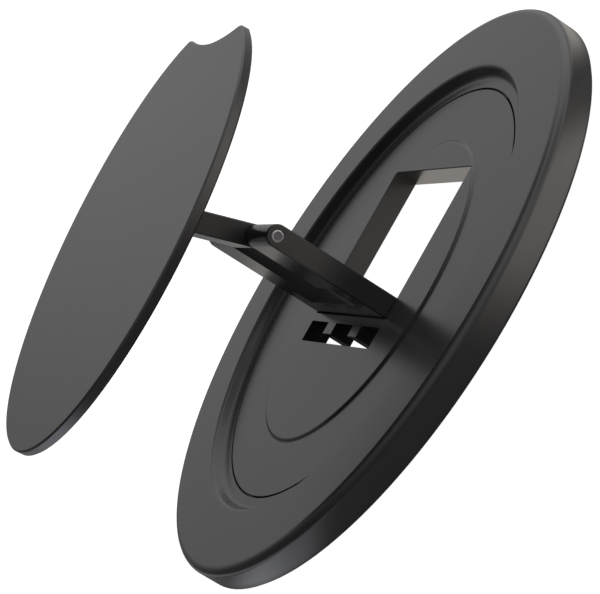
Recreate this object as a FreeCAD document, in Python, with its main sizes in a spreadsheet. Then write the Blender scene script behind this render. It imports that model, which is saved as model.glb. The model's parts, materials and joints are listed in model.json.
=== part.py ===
import FreeCAD, Part
import math
import os
import re

import Sketcher

# A thin folding magnetic phone stand, in millimetres.
# The ring lies on its phone face: origin at the centre of that face, +Z up towards the foot plate.
# X is the direction of all three hinge axes, Y runs from the base hinge to the top of the window.

SIZES = {
    # ring
    "ringDiameter": 60.0,
    "bodyThickness": 3.1,
    "rimFillet": 0.8,
    "backChamfer": 0.25,
    "faceWidth": 6.5,
    "recessWallRun": 0.6,
    "recessEdgeSoftness": 0.27,
    "recessFootSoftness": 0.33,
    "ledgeWidth": 1.1,
    "lipThickness": 0.8,
    # centre plate, which turns in the ring on a hidden flange
    "plateGap": 0.2,
    "flangeReach": 0.6,
    "flangeSlack": 0.04,
    "trackWidth": 5.57,
    "bossRise": 0.2,
    "bossSlope": 0.36,
    "plateProud": 0.1,
    "windowChamfer": 0.07,
    # magnet array, its cover and the soft pad on the back
    "rimWall": 2.5,
    "magnetWidth": 4.2,
    "magnetThickness": 1.35,
    "magnetGap": 0.3,
    "channelClearance": 0.05,
    "coverThickness": 0.3,
    "coverOverlap": 0.15,
    "padThickness": 0.4,
    "padOverlap": 0.9,
    # comb-shaped slot beside the base hinge
    "combBay": 4.7,
    "combTooth": 2.2,
    "combToothLength": 1.2,
    "combHeight": 2.17,
    "combStrip": 0.84,
    # arms
    "armWidth": 18.3,
    "armThickness": 2.1,
    "armChamfer": 0.1,
    "lowerArmLength": 13.38,
    "upperArmLength": 8.73,
    "gapWidth": 6.2,
    "pocketWidth": 12.4,
    "lugClearance": 0.45,
    "armSink": 0.2,
    # running gaps
    "sideGap": 0.25,
    "endGap": 0.15,
    "baseGap": 0.12,
    "runningFit": 0.04,
    "pressFit": 0.01,
    # base hinge
    "hingeOffset": 1.78,
    "pinDiameter": 1.08,
    "pinChamfer": 0.12,
    "pinProud": 0.06,
    "basePinGrip": 2.6,
    "keeperLength": 3.6,
    "keeperWidth": 5.0,
    "keeperInset": 0.3,
    "keeperFit": 0.01,
    # foot plate
    "footMargin": 0.18,
    "footThickness": 0.97,
    "footChamfer": 0.15,
    "footProud": 0.1,
    "nestGap": 0.03,
    "lugWidth": 2.9,
    "scallopRadius": 31.0,
    "scallopDepth": 2.65,
    "scallopCorner": 1.2,
    # pose in the photograph
    "baseAngle": 90.0,
    "upperAngle": 107.5,
    "footTilt": 5.0,
}
MAGNET_COUNT = 16

# Radii, heights and places that follow from the sizes.
RIM = "(ringDiameter / 2)"
RECESS = "(ringDiameter / 2 - faceWidth)"
BORE = "(ringDiameter / 2 - faceWidth - recessWallRun - ledgeWidth)"
PLATE = "(" + BORE + " - plateGap)"
FLANGE = "(" + BORE + " + flangeReach)"
BOSS = "(" + PLATE + " - trackWidth)"
FOOT = "(" + PLATE + " - footMargin)"
MAGNET_OUT = "(ringDiameter / 2 - rimWall)"
MAGNET_IN = "(ringDiameter / 2 - rimWall - magnetWidth)"
COVER_OUT = "(" + MAGNET_OUT + " + padOverlap)"
COVER_IN = "(" + PLATE + " - coverOverlap)"
BACK = "padThickness"
PLATE_BACK = "(padThickness - plateProud)"
SHELF = "(padThickness + coverThickness)"
FRONT = "(padThickness + bodyThickness)"
BOSS_TOP = "(padThickness + bodyThickness + footProud - footThickness - nestGap)"
TRACK = "(" + BOSS_TOP + " - bossRise)"
RECESS_DEPTH = "(" + FRONT + " - " + TRACK + ")"
LIP = "(" + TRACK + " - lipThickness)"
HINGE_Y = "(-hingeOffset)"
HINGE_Z = "(" + BOSS_TOP + " - armSink - armThickness / 2)"
WINDOW_HALF = "(armWidth / 2 + sideGap)"
WINDOW_BOTTOM = "(-hingeOffset - armThickness / 2 - baseGap)"
WINDOW_TOP = "(-hingeOffset + lowerArmLength + armThickness / 2 + endGap)"
ELBOW_Y = "(-hingeOffset + lowerArmLength * cos(baseAngle))"
ELBOW_Z = "(" + HINGE_Z + " + lowerArmLength * sin(baseAngle))"
FOOT_Y = "(" + ELBOW_Y + " + upperArmLength * cos(upperAngle))"
FOOT_Z = "(" + ELBOW_Z + " + upperArmLength * sin(upperAngle))"
FOLDED_FOOT_Y = "(lowerArmLength - upperArmLength - hingeOffset)"
PLATE_LIFT = "(armThickness / 2 + armSink + nestGap)"
LUG_INNER = "(gapWidth / 2)"
LUG_OUTER = "(gapWidth / 2 + lugWidth)"
KEEPER_HEIGHT = "(" + HINGE_Z + " - pinDiameter / 2 - pressFit - " + PLATE_BACK + ")"
KEEPER_MIDDLE = "(" + WINDOW_HALF + " + keeperInset + keeperLength / 2)"

doc = FreeCAD.newDocument("magnetic_phone_stand")
sheet = doc.addObject("Spreadsheet::Sheet", "Sizes")
for row, (alias, value) in enumerate(SIZES.items(), start=1):
    sheet.set("A%d" % row, alias)
    sheet.set("B%d" % row, str(value))
    sheet.setAlias("B%d" % row, alias)
doc.recompute()

parts = []


def formula(text):
    def full_name(word):
        return "Sizes." + word.group() if word.group() in SIZES else word.group()

    return re.sub(r"[A-Za-z]\w*", full_name, text)


def bind(target, **settings):
    for name, text in settings.items():
        target.setExpression(name, formula(text))
    return target


def place(target, x="0", y="0", z="0", turn=None, axis=(1, 0, 0)):
    target.Placement = FreeCAD.Placement(FreeCAD.Vector(), FreeCAD.Rotation(FreeCAD.Vector(*axis), 90))
    if turn is None:
        target.Placement = FreeCAD.Placement()
    else:
        target.setExpression("Placement.Rotation.Angle", formula(turn))
    for name, text in (("x", x), ("y", y), ("z", z)):
        target.setExpression("Placement.Base." + name, formula(text))
    return target


def keep(target, label):
    target.Label = label
    parts.append(target)
    return target


def new_body(name):
    return doc.addObject("PartDesign::Body", name + "_body")


def new_sketch(body, name, role, lift=None):
    sketch = body.newObject("Sketcher::SketchObject", name)
    plane = next(item for item in body.Origin.OriginFeatures if item.Role == role)
    sketch.AttachmentSupport = [(plane, "")]
    sketch.MapMode = "FlatFace"
    if lift is not None:
        sketch.setExpression("AttachmentOffset.Base.z", formula(lift))
    return sketch


def fix_point(sketch, curve, end, start, x, y):
    for kind, text, value in (("DistanceX", x, start.x), ("DistanceY", y, start.y)):
        number = sketch.addConstraint(Sketcher.Constraint(kind, -1, 1, curve, end, value))
        sketch.setExpression("Constraints[%d]" % number, formula(text))


def draw_outline(sketch, points):
    count = len(points)
    first = sketch.GeometryCount
    turns = [2 * math.pi * step / count for step in range(count + 1)]
    ring = [FreeCAD.Vector(10 * math.cos(turn), 10 * math.sin(turn), 0) for turn in turns]
    for step in range(count):
        sketch.addGeometry(Part.LineSegment(ring[step], ring[step + 1]), False)
    for step in range(count):
        after = first + (step + 1) % count
        sketch.addConstraint(Sketcher.Constraint("Coincident", first + step, 2, after, 1))
    for step, (x, y) in enumerate(points):
        fix_point(sketch, first + step, 1, ring[step], x, y)


def draw_rectangle(sketch, left, right, low, high):
    draw_outline(sketch, [(left, low), (right, low), (right, high), (left, high)])


def draw_circle(sketch, x, y, diameter):
    start = FreeCAD.Vector(1, 1, 0)
    curve = sketch.addGeometry(Part.Circle(start, FreeCAD.Vector(0, 0, 1), 1), False)
    number = sketch.addConstraint(Sketcher.Constraint("Diameter", curve, 2))
    sketch.setExpression("Constraints[%d]" % number, formula(diameter))
    fix_point(sketch, curve, 3, start, x, y)


def pad(body, sketch, length, both_ways=False):
    feature = body.newObject("PartDesign::Pad", sketch.Name + "_pad")
    feature.Profile = sketch
    feature.SideType = "Symmetric" if both_ways else "One side"
    bind(feature, Length=length)
    doc.recompute()
    return feature


def cut(body, sketch, length=None, both_ways=False, upwards=False):
    feature = body.newObject("PartDesign::Pocket", sketch.Name + "_cut")
    feature.Profile = sketch
    feature.SideType = "Symmetric" if both_ways else "One side"
    feature.Reversed = upwards
    if length is None:
        feature.Type = "ThroughAll"
    else:
        bind(feature, Length=length)
    before = body.Shape.Volume
    doc.recompute()
    if body.Shape.Volume >= before - 1e-9:
        raise RuntimeError(feature.Name + " cuts nothing")
    return feature


def dress(body, kind, size, wanted):
    base = body.Tip
    names = ["Edge%d" % n for n, edge in enumerate(base.Shape.Edges, start=1) if wanted(edge)]
    feature = body.newObject("PartDesign::" + kind, body.Name + "_" + size)
    feature.Base = (base, names)
    bind(feature, **{"Radius" if kind == "Fillet" else "Size": size})
    doc.recompute()
    return feature


def value_of(text):
    probe = doc.getObject("Probe") or doc.addObject("Part::Vertex", "Probe")
    probe.setExpression("X", formula(text))
    doc.recompute()
    return float(probe.X)


def circle_at(radius_text, height_text):
    radius = value_of(radius_text)
    height = value_of(height_text)

    def wanted(edge):
        box = edge.BoundBox
        flat = box.ZLength < 1e-6 and abs(box.ZMin - height) < 1e-4
        return flat and edge.Curve.TypeId == "Part::GeomCircle" and abs(edge.Curve.Radius - radius) < 1e-4

    return wanted


def turn_solid(name, points):
    body = new_body(name)
    section = new_sketch(body, name + "_section", "XZ_Plane")
    draw_outline(section, points)
    turned = body.newObject("PartDesign::Revolution", name + "_turned")
    turned.Profile = section
    turned.ReferenceAxis = (section, ["V_Axis"])
    turned.Angle = 360
    doc.recompute()
    return body


def soft_wall():
    # both corners of the recess wall are eased by short cones instead of full rounds
    steps = [step / 3 for step in range(4)]
    edge = [("%s + recessEdgeSoftness * (%g * %s - %g * recessWallRun)"
             % (RECESS, (1 - t) ** 2, RECESS_DEPTH, t ** 2),
             "%s - recessEdgeSoftness * %g * %s" % (FRONT, t ** 2, RECESS_DEPTH)) for t in steps]
    foot = [("%s - recessWallRun + recessFootSoftness * (%g * recessWallRun - %g * %s)"
             % (RECESS, (1 - t) ** 2, t ** 2, RECESS_DEPTH),
             "%s + recessFootSoftness * %g * %s" % (TRACK, (1 - t) ** 2, RECESS_DEPTH)) for t in steps]
    return edge + foot


def make_ring_body():
    pocket = FLANGE + " + plateGap / 2"
    rebate = COVER_OUT + " + channelClearance"
    channel_in = MAGNET_IN + " - channelClearance"
    channel_out = MAGNET_OUT + " + channelClearance"
    channel_top = SHELF + " + magnetThickness + channelClearance"
    body = turn_solid("ring", [
        (pocket, SHELF),
        (channel_in, SHELF),
        (channel_in, channel_top),
        (channel_out, channel_top),
        (channel_out, SHELF),
        (rebate, SHELF),
        (rebate, BACK),
        (RIM + " - backChamfer", BACK),
        (RIM, BACK + " + backChamfer"),
        (RIM, FRONT),
        *soft_wall(),
        (BORE, TRACK),
        (BORE, LIP),
        (pocket, LIP),
    ])
    dress(body, "Fillet", "rimFillet", circle_at(RIM, FRONT))
    return keep(body, "ring_body")


def make_centre_plate():
    spigot = COVER_IN + " - coverOverlap"
    flange_low = SHELF + " + flangeSlack"
    flange_high = LIP + " - flangeSlack"
    body = turn_solid("centre", [
        ("0", PLATE_BACK),
        (spigot, PLATE_BACK),
        (spigot, flange_low),
        (FLANGE, flange_low),
        (FLANGE, flange_high),
        (PLATE, flange_high),
        (PLATE, TRACK),
        (BOSS + " + bossSlope * 0.25", TRACK),
        (BOSS, TRACK + " + bossRise * 0.2"),
        (BOSS + " - bossSlope * 0.45", BOSS_TOP + " - bossRise * 0.2"),
        (BOSS + " - bossSlope * 0.75", BOSS_TOP),
        ("0", BOSS_TOP),
    ])

    window = new_sketch(body, "window", "XY_Plane")
    draw_rectangle(window, "-" + WINDOW_HALF, WINDOW_HALF, WINDOW_BOTTOM, WINDOW_TOP)
    cut(body, window, both_ways=True)
    ease = new_sketch(body, "window_ease", "YZ_Plane")
    draw_outline(ease, [
        (WINDOW_TOP + " - windowChamfer", BOSS_TOP + " - 2 * windowChamfer"),
        (WINDOW_TOP + " + 2 * windowChamfer", BOSS_TOP + " + windowChamfer"),
        (WINDOW_TOP + " - windowChamfer", BOSS_TOP + " + windowChamfer"),
    ])
    cut(body, ease, "2 * " + WINDOW_HALF, both_ways=True)

    # three bays joined along their lower side, with two teeth pointing away from the arm
    top = WINDOW_BOTTOM + " - combStrip"
    tooth = top + " - combToothLength"
    bottom = top + " - combHeight"
    end = "combBay * 1.5 + combTooth"
    inner = "combBay / 2"
    outer = "(combBay / 2 + combTooth)"
    comb = new_sketch(body, "comb", "XY_Plane")
    draw_outline(comb, [
        ("-(" + end + ")", bottom), (end, bottom), (end, top),
        (outer, top), (outer, tooth), (inner, tooth), (inner, top),
        ("-" + inner, top), ("-" + inner, tooth), ("-" + outer, tooth), ("-" + outer, top),
        ("-(" + end + ")", top),
    ])
    cut(body, comb, both_ways=True)

    # pin saddles, open to the back and closed by the keepers
    saddle = new_sketch(body, "saddle_groove", "YZ_Plane")
    half = "(pinDiameter / 2 + pressFit)"
    draw_rectangle(saddle, HINGE_Y + " - " + half, HINGE_Y + " + " + half, "0", HINGE_Z)
    span = "2 * (" + WINDOW_HALF + " + basePinGrip + pressFit)"
    cut(body, saddle, span, both_ways=True)
    crown = new_sketch(body, "saddle_crown", "YZ_Plane")
    draw_circle(crown, HINGE_Y, HINGE_Z, "2 * " + half)
    cut(body, crown, span, both_ways=True)

    seats = new_sketch(body, "keeper_seats", "XY_Plane", PLATE_BACK)
    near = WINDOW_HALF + " + keeperInset - keeperFit"
    far = WINDOW_HALF + " + keeperInset + keeperLength + keeperFit"
    low = HINGE_Y + " - keeperWidth / 2 - keeperFit"
    high = HINGE_Y + " + keeperWidth / 2 + keeperFit"
    draw_rectangle(seats, near, far, low, high)
    draw_rectangle(seats, "-(" + far + ")", "-(" + near + ")", low, high)
    cut(body, seats, KEEPER_HEIGHT, upwards=True)
    return keep(body, "centre_plate")


def annulus(name, outer, inner, height):
    solid = bind(doc.addObject("Part::Cylinder", name + "_blank"), Radius=outer, Height=height)
    core = bind(doc.addObject("Part::Cylinder", name + "_bore"), Radius=inner, Height=height)
    whole = doc.addObject("Part::Cut", name)
    whole.Base = solid
    whole.Tool = core
    return whole


def make_magnets():
    pitch = 360.0 / MAGNET_COUNT
    for number in range(1, MAGNET_COUNT + 1):
        name = "magnet_%02d" % number
        whole = annulus(name, MAGNET_OUT, MAGNET_IN, "magnetThickness")
        half_gap = "magnetGap / " + MAGNET_IN + " * 90 / pi"
        bind(whole.Base, Angle="%g - 2 * %s" % (pitch, half_gap))
        bind(whole.Tool, Angle="%g - 2 * %s" % (pitch, half_gap))
        place(whole, z=SHELF, turn="%g + %s" % (pitch * number, half_gap), axis=(0, 0, 1))
        keep(whole, name)


def make_magnet_cover():
    cover = annulus("cover", COVER_OUT, COVER_IN, "coverThickness")
    keep(place(cover, z=BACK), "back_cover")
    soft = annulus("pad", COVER_OUT, MAGNET_IN + " - padOverlap", "padThickness")
    keep(place(soft), "contact_pad")


def make_pin(label, length, y, z, seen=False):
    body = new_body(label)
    section = new_sketch(body, label + "_section", "YZ_Plane")
    draw_circle(section, "0", "0", "pinDiameter")
    pad(body, section, length, both_ways=True)
    if seen:
        dress(body, "Chamfer", "pinChamfer", lambda edge: edge.BoundBox.XLength < 1e-6)
    return keep(place(body, y=y, z=z), label)


def make_keepers():
    for side, sign in (("left", "-"), ("right", "")):
        body = new_body("keeper_" + side)
        outline = new_sketch(body, "keeper_outline_" + side, "XY_Plane")
        draw_rectangle(outline, "-keeperLength / 2", "keeperLength / 2",
                       "-keeperWidth / 2", "keeperWidth / 2")
        pad(body, outline, KEEPER_HEIGHT)
        place(body, x=sign + KEEPER_MIDDLE, y=HINGE_Y, z=PLATE_BACK)
        keep(body, "pin_keeper_" + side)


def make_link(name, width, length):
    body = new_body(name)
    bar = new_sketch(body, name + "_bar", "YZ_Plane")
    draw_rectangle(bar, "0", length, "-armThickness / 2", "armThickness / 2")
    pad(body, bar, width, both_ways=True)
    for end, place_text in (("root", "0"), ("tip", length)):
        barrel = new_sketch(body, name + "_" + end, "YZ_Plane")
        draw_circle(barrel, place_text, "0", "armThickness")
        pad(body, barrel, width, both_ways=True)
    dress(body, "Chamfer", "armChamfer", lambda edge: edge.BoundBox.XLength < 1e-6)
    return body


def make_bore(body, name, along, fit):
    bore = new_sketch(body, name, "YZ_Plane")
    draw_circle(bore, along, "0", "pinDiameter + 2 * " + fit)
    cut(body, bore, both_ways=True)


def make_lower_arm():
    body = make_link("lower_link", "armWidth", "lowerArmLength")
    fold = "(lowerArmLength - upperArmLength)"
    reach = "(armThickness / 2 + lugClearance)"
    low = fold + " - " + reach
    high = fold + " + " + reach
    fork = new_sketch(body, "fork_gap", "XY_Plane")
    draw_outline(fork, [
        ("-pocketWidth / 2", low), ("pocketWidth / 2", low), ("pocketWidth / 2", high),
        ("gapWidth / 2", high), ("gapWidth / 2", "lowerArmLength + armThickness"),
        ("-gapWidth / 2", "lowerArmLength + armThickness"), ("-gapWidth / 2", high),
        ("-pocketWidth / 2", high),
    ])
    cut(body, fork, both_ways=True)
    make_bore(body, "base_bore", "0", "runningFit")
    make_bore(body, "elbow_bore", "lowerArmLength", "pressFit")
    place(body, y=HINGE_Y, z=HINGE_Z, turn="baseAngle")
    return keep(body, "lower_arm")


def make_upper_arm():
    body = make_link("upper_link", "gapWidth - 2 * sideGap", "upperArmLength")
    make_bore(body, "upper_elbow_bore", "0", "runningFit")
    make_bore(body, "upper_foot_bore", "upperArmLength", "runningFit")
    place(body, y=ELBOW_Y, z=ELBOW_Z, turn="upperAngle")
    return keep(body, "upper_arm")


def make_foot_plate():
    body = new_body("foot")
    middle = "-" + FOLDED_FOOT_Y
    disc = new_sketch(body, "foot_disc", "XY_Plane", PLATE_LIFT)
    draw_circle(disc, "0", middle, "2 * " + FOOT)
    pad(body, disc, "footThickness")
    scallop = new_sketch(body, "thumb_scallop", "XY_Plane")
    hollow = middle + " + " + FOOT + " - scallopDepth + scallopRadius"
    draw_circle(scallop, "0", hollow, "2 * scallopRadius")
    cut(body, scallop, both_ways=True)
    off_middle = value_of(FOOT + " / 10")

    def scallop_corner(edge):
        box = edge.BoundBox
        upright = box.ZLength > 1e-3 and box.XLength < 1e-6
        return upright and abs(box.XMin) > off_middle

    dress(body, "Fillet", "scallopCorner", scallop_corner)
    dress(body, "Chamfer", "footChamfer", lambda edge: edge.BoundBox.ZLength < 1e-6)

    lugs = new_sketch(body, "lug_posts", "YZ_Plane")
    draw_rectangle(lugs, "-armThickness / 2", "armThickness / 2", "0", PLATE_LIFT + " + footThickness / 2")
    pad(body, lugs, "2 * " + LUG_OUTER, both_ways=True)
    rounds = new_sketch(body, "lug_rounds", "YZ_Plane")
    draw_circle(rounds, "0", "0", "armThickness")
    pad(body, rounds, "2 * " + LUG_OUTER, both_ways=True)
    slot = new_sketch(body, "lug_slot", "YZ_Plane")
    draw_rectangle(slot, "-armThickness", "armThickness", "-armThickness", PLATE_LIFT)
    cut(body, slot, "2 * " + LUG_INNER, both_ways=True)
    make_bore(body, "lug_bore", "0", "pressFit")
    place(body, y=FOOT_Y, z=FOOT_Z, turn="footTilt")
    return keep(body, "foot_plate")


make_ring_body()
make_centre_plate()
make_magnets()
make_magnet_cover()
make_pin("base_pin", "2 * (" + WINDOW_HALF + " + basePinGrip)", HINGE_Y, HINGE_Z)
make_keepers()
make_lower_arm()
make_pin("elbow_pin", "armWidth + 2 * pinProud", ELBOW_Y, ELBOW_Z, seen=True)
make_upper_arm()
make_pin("foot_pin", "2 * " + LUG_OUTER, FOOT_Y, FOOT_Z)
make_foot_plate()
doc.recompute()

failed = [item.Name for item in doc.Objects if {"Invalid", "Error"} & set(item.State)]
failed += [part.Label for part in parts if part.Shape.isNull() or not part.Shape.isValid()]
if failed:
    raise RuntimeError("failed: " + ", ".join(failed))

os.makedirs("parts", exist_ok=True)
for part in parts:
    part.Shape.exportStep("parts/" + part.Label + ".step")
print(len(parts), "sub-parts written")
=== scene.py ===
import json
import math

import bpy
from mathutils import Matrix, Vector


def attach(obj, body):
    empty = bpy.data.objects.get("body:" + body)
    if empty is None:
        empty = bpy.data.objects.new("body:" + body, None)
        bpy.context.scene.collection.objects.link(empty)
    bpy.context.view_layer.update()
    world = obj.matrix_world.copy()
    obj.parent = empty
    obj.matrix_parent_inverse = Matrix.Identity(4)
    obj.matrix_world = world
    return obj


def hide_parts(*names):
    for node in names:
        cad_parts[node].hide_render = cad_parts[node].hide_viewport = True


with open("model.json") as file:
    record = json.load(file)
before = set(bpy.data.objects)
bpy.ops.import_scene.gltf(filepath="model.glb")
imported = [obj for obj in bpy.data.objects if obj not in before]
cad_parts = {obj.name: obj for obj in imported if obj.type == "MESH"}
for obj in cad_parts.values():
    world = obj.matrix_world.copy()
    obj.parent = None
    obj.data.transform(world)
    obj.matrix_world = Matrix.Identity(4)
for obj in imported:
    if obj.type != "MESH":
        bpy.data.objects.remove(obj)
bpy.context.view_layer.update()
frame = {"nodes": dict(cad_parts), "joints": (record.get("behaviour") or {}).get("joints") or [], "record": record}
print("frame loaded:", len(frame["nodes"]), "nodes")

mm = 0.001


# small helpers for node trees

def startMaterial(name):
    material = bpy.data.materials.new(name)
    material.use_nodes = True
    tree = material.node_tree
    shader = tree.nodes["Principled BSDF"]
    return material, tree, shader


def addNode(tree, kind, place, **settings):
    node = tree.nodes.new(kind)
    node.location = place
    for key, value in settings.items():
        setattr(node, key, value)
    return node


def objectCoords(tree):
    return addNode(tree, "ShaderNodeTexCoord", (-1100, 0)).outputs["Object"]


def addNoise(tree, coords, place, scale, detail=3.0, roughness=0.55):
    noise = addNode(tree, "ShaderNodeTexNoise", place)
    noise.inputs["Scale"].default_value = scale
    noise.inputs["Detail"].default_value = detail
    noise.inputs["Roughness"].default_value = roughness
    tree.links.new(coords, noise.inputs["Vector"])
    return noise.outputs["Fac"]


def addRange(tree, source, place, low, high, fromLow=0.0, fromHigh=1.0, smooth=False):
    ranged = addNode(tree, "ShaderNodeMapRange", place)
    if smooth:
        ranged.interpolation_type = "SMOOTHSTEP"
    ranged.inputs["From Min"].default_value = fromLow
    ranged.inputs["From Max"].default_value = fromHigh
    ranged.inputs["To Min"].default_value = low
    ranged.inputs["To Max"].default_value = high
    tree.links.new(source, ranged.inputs["Value"])
    return ranged.outputs["Result"]


def addStops(tree, source, place, stops, between="EASE"):
    ramp = addNode(tree, "ShaderNodeValToRGB", place)
    ramp.color_ramp.interpolation = between
    elements = ramp.color_ramp.elements
    while len(elements) < len(stops):
        elements.new(0.5)
    for element, (position, colour) in zip(elements, stops):
        element.position = position
        element.color = (*colour, 1)
    tree.links.new(source, ramp.inputs["Fac"])
    return ramp.outputs["Color"]


def addRamp(tree, source, place, darker, lighter, low=0.3, high=0.7):
    return addStops(tree, source, place, [(low, darker), (high, lighter)], "LINEAR")


# near and far are colours or sockets
def addMix(tree, share, place, near, far):
    blend = addNode(tree, "ShaderNodeMix", place, data_type="RGBA")
    tree.links.new(share, blend.inputs["Factor"])
    for socket, colour in (("A", near), ("B", far)):
        if isinstance(colour, tuple):
            blend.inputs[socket].default_value = (*colour, 1)
        else:
            tree.links.new(colour, blend.inputs[socket])
    return blend.outputs["Result"]


def addVectorMath(tree, source, place, operation, other):
    node = addNode(tree, "ShaderNodeVectorMath", place, operation=operation)
    node.inputs[1].default_value = other
    tree.links.new(source, node.inputs[0])
    return node.outputs


def addBump(tree, source, place, strength, depth, normal=None):
    bump = addNode(tree, "ShaderNodeBump", place)
    if normal is not None:
        tree.links.new(normal, bump.inputs["Normal"])
    bump.inputs["Strength"].default_value = strength
    bump.inputs["Distance"].default_value = depth
    tree.links.new(source, bump.inputs["Height"])
    return bump.outputs["Normal"]


def joinFinish(tree, shader, colour, rough, bumped):
    tree.links.new(colour, shader.inputs["Base Color"])
    tree.links.new(rough, shader.inputs["Roughness"])
    tree.links.new(bumped, shader.inputs["Normal"])


# bead-blasted, black anodised aluminium: ring, centre plate, arms and foot plate
anodised = {
    "darker": (0.017, 0.0167, 0.0167),
    "lighter": (0.021, 0.0207, 0.0207),
    "grainScale": 5200.0,       # per metre, so grains of about 0.2 mm
    "grainDetail": 2.0,
    "cloudScale": 90.0,
    "roughLow": 0.23,
    "roughHigh": 0.27,
    "grainStrength": 0.10,
    "grainDepth": 0.01 * mm,
    "gloss": 0.5,
    "edgeEase": 0.06 * mm,      # radius of the broken edges, which catch thin lines of light
    "edgeSamples": 6,
}


def makeAnodised():
    material, tree, shader = startMaterial("blackAnodised")
    coords = objectCoords(tree)
    grain = addNoise(tree, coords, (-850, 200), anodised["grainScale"], anodised["grainDetail"])
    cloud = addNoise(tree, coords, (-850, -100), anodised["cloudScale"])
    colour = addRamp(tree, cloud, (-550, 250), anodised["darker"], anodised["lighter"])
    rough = addRange(tree, cloud, (-550, -50), anodised["roughLow"], anodised["roughHigh"])
    eased = addNode(tree, "ShaderNodeBevel", (-850, -450), samples=anodised["edgeSamples"])
    eased.inputs["Radius"].default_value = anodised["edgeEase"]
    bumped = addBump(tree, grain, (-550, -350), anodised["grainStrength"], anodised["grainDepth"],
                     eased.outputs["Normal"])
    joinFinish(tree, shader, colour, rough, bumped)
    shader.inputs["Specular IOR Level"].default_value = anodised["gloss"]
    return material


# ground steel pins: a dull faced end inside a turned chamfer, its bright steel painted near white as a painted
# highlight
pinSteel = {
    "faceDarker": (0.095, 0.092, 0.10),
    "faceLighter": (0.19, 0.182, 0.195),
    # painted highlight: the turned chamfer's colour set near white
    "chamferHighlightTone": (0.98, 0.98, 0.98),
    "chamferInside": 0.42 * mm,     # distance from the pin's axis where the chamfer starts
    "chamferBlend": 0.02 * mm,
    "mottleScale": 5200.0,
    "faceRough": (0.45, 0.6),
    "metal": (0.05, 0.35),          # faced end, turned chamfer
    "scratchScale": 9000.0,
    "scratchDetail": 2.0,
    "scratchStrength": 0.12,
    "scratchDepth": 0.01 * mm,
    # each pin's finish and the hinge that it lies in
    "pins": {"base_pin": ("basePinSteel", "base_hinge"),
             "elbow_pin": ("elbowPinSteel", "elbow_hinge"),
             "foot_pin": ("footPinSteel", "foot_hinge")},
}


def makePinSteel(name, axisPoint):
    material, tree, shader = startMaterial(name)
    coords = objectCoords(tree)
    mottle = addNoise(tree, coords, (-850, 250), pinSteel["mottleScale"])
    scratch = addNoise(tree, coords, (-850, -50), pinSteel["scratchScale"], pinSteel["scratchDetail"])
    across = addVectorMath(tree, coords, (-850, -300), "MULTIPLY", (0, 1, 1))   # the pin lies along X
    axisAcross = (0, axisPoint[1], axisPoint[2])
    reach = addVectorMath(tree, across["Vector"], (-650, -300), "DISTANCE", axisAcross)
    start = pinSteel["chamferInside"] - pinSteel["chamferBlend"]
    end = pinSteel["chamferInside"] + pinSteel["chamferBlend"]
    chamferAndHighlight = addRange(tree, reach["Value"], (-450, -300), 0.0, 1.0, start, end, smooth=True)
    face = addRamp(tree, mottle, (-550, 300), pinSteel["faceDarker"], pinSteel["faceLighter"])
    # painted highlight: the chamfer ring, found by distance from the pin's axis, coloured near white
    colour = addMix(tree, chamferAndHighlight, (-250, 250), face, pinSteel["chamferHighlightTone"])
    rough = addRange(tree, mottle, (-550, 0), *pinSteel["faceRough"])
    bumped = addBump(tree, scratch, (-250, -450), pinSteel["scratchStrength"], pinSteel["scratchDepth"])
    joinFinish(tree, shader, colour, rough, bumped)
    metal = addRange(tree, chamferAndHighlight, (-250, 0), *pinSteel["metal"])
    tree.links.new(metal, shader.inputs["Metallic"])
    return material


# zinc-plated sheet: back cover and pin keepers
zincSheet = {
    "darker": (0.33, 0.335, 0.34),
    "lighter": (0.50, 0.505, 0.50),
    "spangleScale": 420.0,
    "spangleSpan": (0.1, 0.8),
    "grainScale": 3000.0,
    "roughLow": 0.34,
    "roughHigh": 0.52,
    "grainStrength": 0.08,
    "grainDepth": 0.01 * mm,
    "metal": 1.0,
}


def makeZincSheet():
    material, tree, shader = startMaterial("zincSheet")
    coords = objectCoords(tree)
    spangle = addNode(tree, "ShaderNodeTexVoronoi", (-850, 200))
    spangle.inputs["Scale"].default_value = zincSheet["spangleScale"]
    tree.links.new(coords, spangle.inputs["Vector"])
    tone = spangle.outputs["Distance"]
    grain = addNoise(tree, coords, (-850, -150), zincSheet["grainScale"])
    colour = addRamp(tree, tone, (-550, 250), zincSheet["darker"], zincSheet["lighter"],
                     *zincSheet["spangleSpan"])
    rough = addRange(tree, tone, (-550, -50), zincSheet["roughLow"], zincSheet["roughHigh"])
    bumped = addBump(tree, grain, (-550, -350), zincSheet["grainStrength"], zincSheet["grainDepth"])
    joinFinish(tree, shader, colour, rough, bumped)
    shader.inputs["Metallic"].default_value = zincSheet["metal"]
    return material


# one recipe for the magnets and the soft pad: base tone, speckle and a fine surface
smallFinishes = {
    "nickel_plate": {"name": "nickelPlate", "darker": (0.55, 0.54, 0.51), "lighter": (0.68, 0.67, 0.64),
                     "scale": 1200.0, "rough": (0.16, 0.28), "metal": 1.0,
                     "bump": 0.04, "depth": 0.01 * mm},
    "soft_pad": {"name": "softSilicone", "darker": (0.022, 0.022, 0.023), "lighter": (0.032, 0.032, 0.033),
                 "scale": 1800.0, "rough": (0.62, 0.8), "metal": 0.0,
                 "bump": 0.15, "depth": 0.01 * mm},
}


def makeSmallFinish(finish):
    material, tree, shader = startMaterial(finish["name"])
    coords = objectCoords(tree)
    speckle = addNoise(tree, coords, (-850, 100), finish["scale"])
    colour = addRamp(tree, speckle, (-550, 250), finish["darker"], finish["lighter"])
    rough = addRange(tree, speckle, (-550, -50), *finish["rough"])
    bumped = addBump(tree, speckle, (-550, -350), finish["bump"], finish["depth"])
    joinFinish(tree, shader, colour, rough, bumped)
    shader.inputs["Metallic"].default_value = finish["metal"]
    return material


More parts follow.
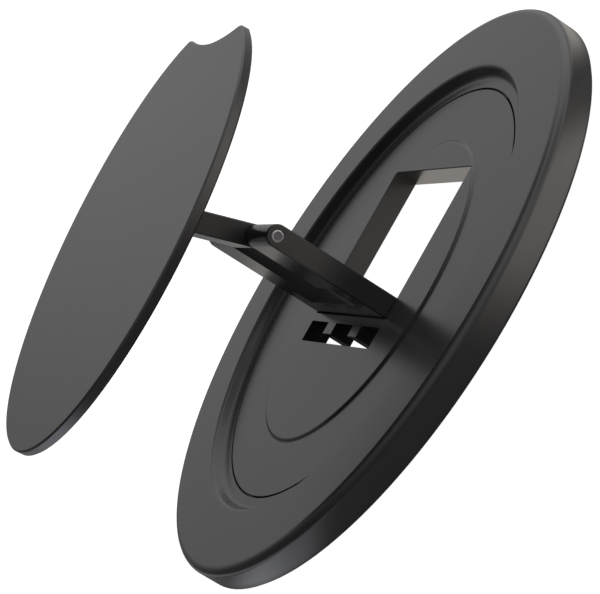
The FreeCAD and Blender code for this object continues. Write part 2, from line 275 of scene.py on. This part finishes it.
finishes = {
    "anodised_black": makeAnodised(),
    "plain_steel": makeZincSheet(),
}
for slotName, finish in smallFinishes.items():
    finishes[slotName] = makeSmallFinish(finish)
print("materials made:", len(finishes))

axisPoints = {joint["name"]: joint["pos_m"] for joint in frame["joints"]}

for subpart in frame["record"]["subparts"]:
    node = subpart["node"]
    piece = frame["nodes"][node]
    piece.data.materials.clear()
    if node in pinSteel["pins"]:
        name, hinge = pinSteel["pins"][node]
        piece.data.materials.append(makePinSteel(name, axisPoints[hinge]))
    else:
        piece.data.materials.append(finishes[subpart["material_slot"]])
print("materials given to all nodes")


# the ring turned once more with smooth runs, in millimetres, for even reflections on its rounded edges
ringShape = {
    "rim": 29.99,
    "back": 0.4,
    "front": 3.5,
    "backChamfer": 0.25,
    "rimFillet": 0.8,
    "recess": 23.5,            # radius where the face meets the recess wall
    "wallRun": 0.6,            # how far the wall leans in
    "track": 2.4,              # height of the recess floor
    "edgeSoftness": 0.27,
    "footSoftness": 0.33,
    "bore": 21.8,
    "lip": 1.6,
    "pocket": 22.5,
    "shelf": 0.7,
    "channel": (23.25, 27.55),
    "channelTop": 2.1,
    "rebate": 28.45,
    "support": 0.04,           # loops beside each rounding keep the flats flat
    "roundSteps": 10,
    "segments": 192,
}


def softCorner(before, corner, after):
    steps = ringShape["roundSteps"]
    run = []
    for step in range(steps + 1):
        part = step / steps
        weights = ((1 - part) ** 2, 2 * part * (1 - part), part ** 2)
        ends = list(zip(weights, (before, corner, after)))
        run.append(tuple(sum(weight * point[axis] for weight, point in ends) for axis in (0, 1)))
    return run


# rim, face and recess as one run of radius and height, then the back
def ringSection():
    shape = ringShape
    rim, front, track = shape["rim"], shape["front"], shape["track"]
    fillet, near, wallRun = shape["rimFillet"], shape["support"], shape["wallRun"]
    outside = [(rim, shape["back"] + shape["backChamfer"]), (rim, front - fillet - near)]
    for step in range(shape["roundSteps"] + 1):
        turn = step / shape["roundSteps"] * math.pi / 2
        outside.append((rim - fillet + fillet * math.cos(turn), front - fillet + fillet * math.sin(turn)))
    depth = front - track
    edge = shape["recess"]
    soft = shape["edgeSoftness"]
    outside += [(rim - fillet - near, front), (edge + soft * depth + near, front)]
    outside += softCorner((edge + soft * depth, front), (edge, front),
                          (edge - soft * wallRun, front - soft * depth))
    foot = edge - wallRun
    soft = shape["footSoftness"]
    outside += softCorner((foot + soft * wallRun, track + soft * depth), (foot, track),
                          (foot - soft * depth, track))
    outside += [(foot - soft * depth - near, track), (shape["bore"], track)]
    low, high = shape["channel"]
    shelf = shape["shelf"]
    behind = [(shape["bore"], shape["lip"]), (shape["pocket"], shape["lip"]), (shape["pocket"], shelf),
              (low, shelf), (low, shape["channelTop"]), (high, shape["channelTop"]), (high, shelf),
              (shape["rebate"], shelf), (shape["rebate"], shape["back"]),
              (rim - shape["backChamfer"], shape["back"])]
    corners = {0} | set(range(len(outside) - 1, len(outside) + len(behind)))
    return outside + behind, corners


def turnRing():
    count = ringShape["segments"]
    section, corners = ringSection()
    points = []
    faces = []
    for radius, height in section:
        for spoke in range(count):
            angle = 2 * math.pi * spoke / count
            points.append((radius * math.cos(angle) * mm, radius * math.sin(angle) * mm, height * mm))
    for level in range(len(section)):
        here = level * count
        above = (level + 1) % len(section) * count
        for spoke in range(count):
            after = (spoke + 1) % count
            faces.append((here + spoke, here + after, above + after, above + spoke))
    mesh = bpy.data.meshes.new("smoothRing")
    mesh.from_pydata(points, [], faces)
    mesh.shade_smooth()
    for edge in mesh.edges:
        levels = {corner // count for corner in edge.vertices}
        edge.use_edge_sharp = len(levels) == 1 and levels <= corners
    mesh.materials.append(finishes["anodised_black"])
    ring = bpy.data.objects.new("smoothRing", mesh)
    bpy.context.scene.collection.objects.link(ring)
    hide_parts("ring_body")
    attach(ring, "ring")


turnRing()
print("smooth ring turned")


# pale floor that fills the view, a little below the soft pad
floorLook = {
    "size": 6.0,
    "drop": 0.05 * mm,
    "tone": (0.30, 0.30, 0.30),
    "rough": 0.9,
    "gloss": 0.1,
    "glow": 1.0,           # what the camera sees, times a tint
    "glowTint": (1.0, 1.0, 1.0),
    "bounce": 1.75,        # what the stand's surfaces see, times the tints below
    # cool and warm glows beside the ring, by degrees around it
    "besideTints": [(-140, (0.20, 0.19, 0.175)), (-92, (0.04, 0.04, 0.04)), (-72, (0.52, 0.53, 0.58)),
                    (-62, (0.44, 0.445, 0.48)), (-50, (0.07, 0.07, 0.07)), (-10, (0.06, 0.058, 0.055)),
                    (16, (1.0, 0.93, 0.88)), (30, (0.98, 0.91, 0.86)), (47, (0.10, 0.095, 0.09)),
                    (56, (0.02, 0.02, 0.02)), (72, (0.34, 0.31, 0.285)), (110, (0.05, 0.05, 0.05))],
    # further out, where the foot plate's rim looks
    "outerTints": [(-150, (0.05, 0.05, 0.05)), (-136, (0.09, 0.09, 0.10)), (-118, (0.38, 0.38, 0.44)),
                   (-104, (0.66, 0.66, 0.77)), (-78, (0.02, 0.02, 0.02)), (-9, (0.0, 0.0, 0.0)),
                   (44, (0.90, 0.83, 0.77)), (62, (0.68, 0.63, 0.59)), (86, (0.12, 0.115, 0.11)),
                   (106, (0.13, 0.13, 0.13)), (130, (0.15, 0.15, 0.15))],
    "outerReach": (42 * mm, 60 * mm),
    # painted shade: the floor's glow made dark in the ring's own shade
    "underShadeTint": (0.02, 0.02, 0.02),
    "underReach": (30.2 * mm, 31.6 * mm),
    # below the window: a brighter pool of glow painted on the floor
    "innerGlowTint": (0.42, 0.39, 0.365),
    "innerAt": (-4 * mm, 12 * mm, 0),
    "innerReach": (11 * mm, 17 * mm),
}


# 0 inside the reach, 1 outside it
def floorShare(tree, centre, edge):
    reach = addVectorMath(tree, objectCoords(tree), (-900, 300), "DISTANCE", centre)
    return addRange(tree, reach["Value"], (-700, 300), 0.0, 1.0, *edge, smooth=True)


def floorTints(tree):
    spot = addNode(tree, "ShaderNodeSeparateXYZ", (-1100, 100))
    tree.links.new(objectCoords(tree), spot.inputs["Vector"])
    around = addNode(tree, "ShaderNodeMath", (-900, 100), operation="ARCTAN2")
    tree.links.new(spot.outputs["Y"], around.inputs[0])
    tree.links.new(spot.outputs["X"], around.inputs[1])
    turn = addRange(tree, around.outputs["Value"], (-700, 100), 0.0, 1.0, -math.pi, math.pi)
    rings = []
    for row, name in enumerate(("besideTints", "outerTints")):
        stops = [((180 + angle) / 360, tint) for angle, tint in floorLook[name]]
        rings.append(addStops(tree, turn, (-500, 100 - 250 * row), stops))
    middle = (0, 0, 0)
    outside = floorShare(tree, middle, floorLook["outerReach"])
    tint = addMix(tree, outside, (-350, 200), *rings)
    clear = floorShare(tree, middle, floorLook["underReach"])
    # painted shadow: the floor's glow darkened just under the ring
    tint = addMix(tree, clear, (-350, 0), floorLook["underShadeTint"], tint)
    beyond = floorShare(tree, floorLook["innerAt"], floorLook["innerReach"])
    # painted pool of light: the floor's glow brightened below the window
    return addMix(tree, beyond, (-350, -200), floorLook["innerGlowTint"], tint)


def makeFloorPaint():
    material, tree, shader = startMaterial("paleFloorPaint")
    shader.inputs["Base Color"].default_value = (*floorLook["tone"], 1)
    shader.inputs["Roughness"].default_value = floorLook["rough"]
    shader.inputs["Specular IOR Level"].default_value = floorLook["gloss"]
    seen = addNode(tree, "ShaderNodeLightPath", (-900, -200)).outputs["Is Camera Ray"]
    glow = addRange(tree, seen, (-450, -300), floorLook["bounce"], floorLook["glow"])
    tree.links.new(glow, shader.inputs["Emission Strength"])
    colour = addMix(tree, seen, (-200, 0), floorTints(tree), floorLook["glowTint"])
    tree.links.new(colour, shader.inputs["Emission Color"])
    return material


def layFloor():
    half = floorLook["size"] / 2
    low = -floorLook["drop"]
    corners = [(-half, -half, low), (half, -half, low), (half, half, low), (-half, half, low)]
    mesh = bpy.data.meshes.new("paleFloor")
    mesh.from_pydata(corners, [], [(0, 1, 2, 3)])
    mesh.materials.append(makeFloorPaint())
    floor = bpy.data.objects.new("paleFloor", mesh)
    bpy.context.scene.collection.objects.link(floor)


layFloor()
print("floor laid")


# studio surround: one broad soft light from the +Y side, dark on the -Y side
surround = {
    "lightFrom": (0.07, 0.785, 0.616),
    "peak": 1.27,
    # cosine of the angle from the light, part of the peak
    "levels": [(-0.30, 0.07), (0.0, 0.15), (0.20, 0.355), (0.45, 0.48), (0.62, 0.66),
               (0.80, 0.88), (1.0, 1.0)],
    "tint": (1.0, 0.995, 1.0),
    # direction, edge as cosines, gain: a weak light opposite the camera and one beside it
    "fills": [((-0.87, -0.05, 0.49), (0.93, 1.0), 0.12), ((0.50, -0.62, 0.60), (0.75, 1.0), 0.12)],
    # direction, edge as cosines, part that is left: nearly overhead, and below the light
    "shades": [((-0.33, 0.10, 0.939), (0.79, 0.91), 0.30), ((0.28, 0.84, 0.46), (0.90, 0.985), 0.55)],
}


def paintSurround():
    world = bpy.data.worlds.new("studioSurround")
    world.use_nodes = True
    bpy.context.scene.world = world
    tree = world.node_tree
    background = tree.nodes["Background"]
    direction = addNode(tree, "ShaderNodeTexCoord", (-1000, 0)).outputs["Generated"]
    towards = addVectorMath(tree, direction, (-800, 0), "DOT_PRODUCT", surround["lightFrom"])
    part = addRange(tree, towards["Value"], (-600, 0), 0.0, 1.0, -1.0, 1.0)
    levels = [((1 + cosine) / 2, (level, level, level)) for cosine, level in surround["levels"]]
    glow = addStops(tree, part, (-400, 0), levels)
    strength = addRange(tree, glow, (-150, 0), 0.0, surround["peak"])
    patches = [("ADD", side, edge, 0.0, gain) for side, edge, gain in surround["fills"]]
    patches += [("MULTIPLY", side, edge, 1.0, left) for side, edge, left in surround["shades"]]
    for row, (kind, side, edge, outside, inside) in enumerate(patches):
        low = -250 * (row + 1)
        near = addVectorMath(tree, direction, (-800, low), "DOT_PRODUCT", side)
        patch = addRange(tree, near["Value"], (-600, low), outside, inside, *edge, smooth=True)
        joined = addNode(tree, "ShaderNodeMath", (-100, low), operation=kind)
        tree.links.new(strength, joined.inputs[0])
        tree.links.new(patch, joined.inputs[1])
        strength = joined.outputs["Value"]
    tree.links.new(strength, background.inputs["Strength"])
    background.inputs["Color"].default_value = (*surround["tint"], 1)


paintSurround()
print("surround painted")


# camera at the photograph's angle: place and sensor in millimetres, unit directions
photoCamera = {
    "at": (193.692, -32.647, 64.671),
    "right": (0.31252018, 0.49095671, -0.81319901),
    "up": (-0.02276167, 0.85970368, 0.51028570),
    "back": (0.94963838, -0.14096481, 0.27984974),
    "lens": 134.701,
    "sensor": 36.0,
    "nearest": 0.005,      # clipping, in metres
    "furthest": 20.0,
}


def setCamera():
    lens = bpy.data.cameras.new("photoCamera")
    lens.sensor_fit = "HORIZONTAL"
    lens.sensor_width = photoCamera["sensor"]
    lens.lens = photoCamera["lens"]
    lens.clip_start = photoCamera["nearest"]
    lens.clip_end = photoCamera["furthest"]
    camera = bpy.data.objects.new("photoCamera", lens)
    turn = Matrix((photoCamera["right"], photoCamera["up"], photoCamera["back"])).transposed()
    camera.matrix_world = Matrix.Translation(Vector(photoCamera["at"]) * mm) @ turn.to_4x4()
    bpy.context.scene.collection.objects.link(camera)
    bpy.context.scene.camera = camera


setCamera()
bpy.context.scene.view_settings.view_transform = "Standard"   # plain tones, so that white stays white
print("camera set")
